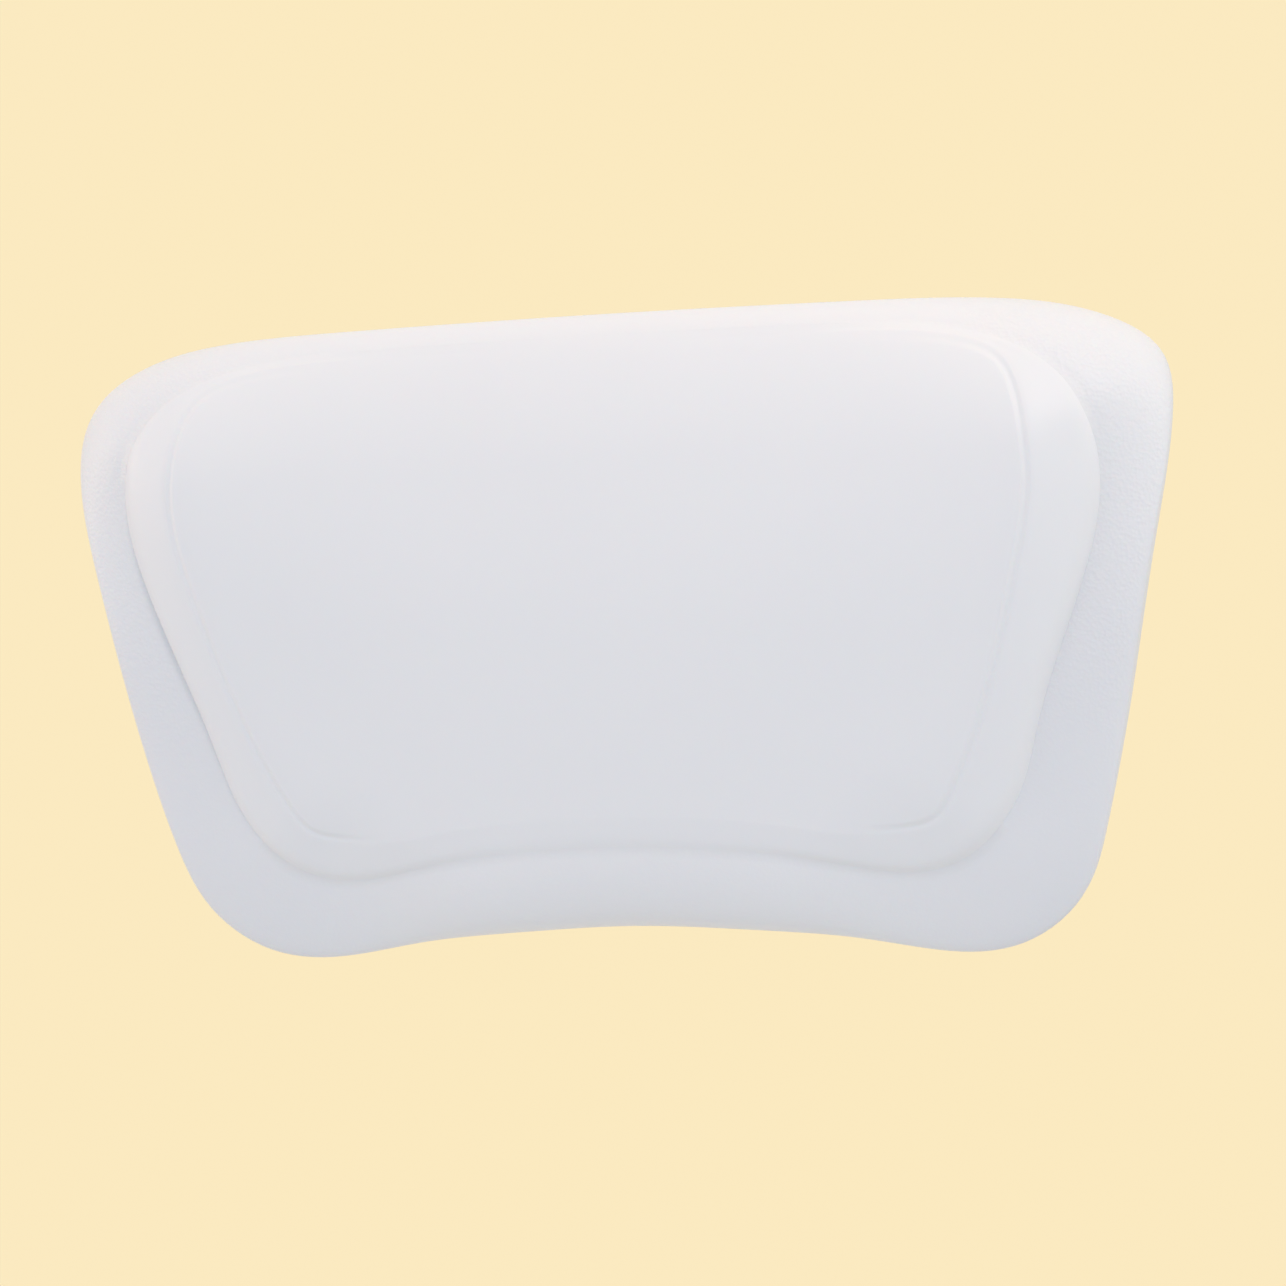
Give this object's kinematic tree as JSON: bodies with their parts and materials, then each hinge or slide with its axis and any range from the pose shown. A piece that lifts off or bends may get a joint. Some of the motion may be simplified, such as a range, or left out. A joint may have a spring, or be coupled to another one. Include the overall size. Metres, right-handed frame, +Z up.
{
  "type": "bath pillow",
  "caption": "Moulded foam bath headrest with a dished neck pad and a raised lip, held to the bath wall by suction cups that turn in snap-in sockets.",
  "frame": {"origin": "on the bath wall, in the plane of the suction-cup rims, midway between the cups and at the middle of the pillow's height", "axes": "+X along the pillow's width, to the right of someone who faces the pad; +Y from the pad towards the wall; +Z up"},
  "size_m": [0.337, 0.0538, 0.1926],
  "materials": {
    "skin": "white integral-skin polyurethane, matte, with a fine leather grain on the rim",
    "backing": "white polyurethane skin, smooth and matte",
    "foam": "open-cell polyurethane foam, cream",
    "plate": "natural polypropylene moulding",
    "socket": "white snap-in moulding",
    "cup": "clear soft PVC, glossy"
  },
  "bodies": {
    "pillow": {"face_skin": "skin", "foam_core": "foam", "insert_plate": "plate", "back_skin": "backing", "socket_upper_left": "socket", "socket_upper_right": "socket", "socket_lower_left": "socket", "socket_lower_right": "socket"},
    "cup_upper_left": {"suction_cup_upper_left": "cup"},
    "cup_upper_right": {"suction_cup_upper_right": "cup"},
    "cup_lower_left": {"suction_cup_lower_left": "cup"},
    "cup_lower_right": {"suction_cup_lower_right": "cup"}
  },
  "joints": [
    {"name": "cup_spin_upper_left", "type": "hinge", "parent": "pillow", "child": "cup_upper_left", "pos_m": [-0.098, 0, 0.038], "axis": [0, 1, 0], "continuous": true},
    {"name": "cup_spin_upper_right", "type": "hinge", "parent": "pillow", "child": "cup_upper_right", "pos_m": [0.098, 0, 0.038], "axis": [0, 1, 0], "continuous": true},
    {"name": "cup_spin_lower_left", "type": "hinge", "parent": "pillow", "child": "cup_lower_left", "pos_m": [-0.072, 0, -0.038], "axis": [0, 1, 0], "continuous": true},
    {"name": "cup_spin_lower_right", "type": "hinge", "parent": "pillow", "child": "cup_lower_right", "pos_m": [0.072, 0, -0.038], "axis": [0, 1, 0], "continuous": true}
  ]
}
